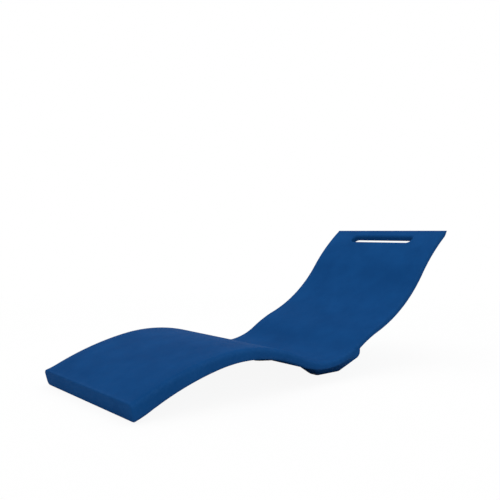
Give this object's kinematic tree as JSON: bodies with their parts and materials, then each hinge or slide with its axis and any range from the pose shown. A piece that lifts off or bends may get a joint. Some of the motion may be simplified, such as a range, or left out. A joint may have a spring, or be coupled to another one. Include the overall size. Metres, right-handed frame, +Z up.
{
  "type": "sun lounger",
  "caption": "One-piece S-shaped hollow moulded sun lounger on a belly, with a slot handle in the head, rubber pads and screw plugs for ballast water.",
  "frame": {"origin": "on the floor under the middle of the lounger's box", "axes": "+X from the toe to the head, +Y across the lounger, +Z up"},
  "size_m": [1.757, 0.7, 0.6252],
  "materials": {
    "blue_moulding": "matt rotationally moulded polyethylene",
    "black_fitting": "fine satin moulded polymer",
    "seal_rubber": "smooth soft rubber",
    "pad_rubber": "matt hard rubber",
    "steel": "stainless, turned",
    "brass": "turned brass"
  },
  "bodies": {
    "lounger": {"body_shell": "blue_moulding", "drain_bush": "black_fitting", "vent_bush": "black_fitting", "belly_pads": "pad_rubber", "toe_pads": "pad_rubber", "pad_screws": "steel", "pad_inserts": "brass"},
    "drain_seal": {"drain_gasket": "seal_rubber"},
    "drain_cap": {"drain_plug": "black_fitting"},
    "vent_seal": {"vent_gasket": "seal_rubber"},
    "vent_cap": {"vent_plug": "black_fitting"}
  },
  "joints": [
    {"name": "drain_travel", "type": "slide", "parent": "lounger", "child": "drain_seal", "axis": [1, 0, 0], "range_m": [0, 0.012]},
    {"name": "drain_turn", "type": "hinge", "parent": "drain_seal", "child": "drain_cap", "pos_m": [0.22817, 0, 0.056], "axis": [1, 0, 0], "range_deg": [0, 1440]},
    {"name": "vent_travel", "type": "slide", "parent": "lounger", "child": "vent_seal", "axis": [0.7148, 0, -0.6994], "range_m": [0, 0.012]},
    {"name": "vent_turn", "type": "hinge", "parent": "vent_seal", "child": "vent_cap", "pos_m": [0.74896, 0, 0.49689], "axis": [0.7148, 0, -0.6994], "range_deg": [0, 1440]}
  ],
  "couplings": [
    {"joint": "drain_travel", "follows": "drain_turn", "m_per_rad": 0.00047746},
    {"joint": "vent_travel", "follows": "vent_turn", "m_per_rad": 0.00047746}
  ]
}
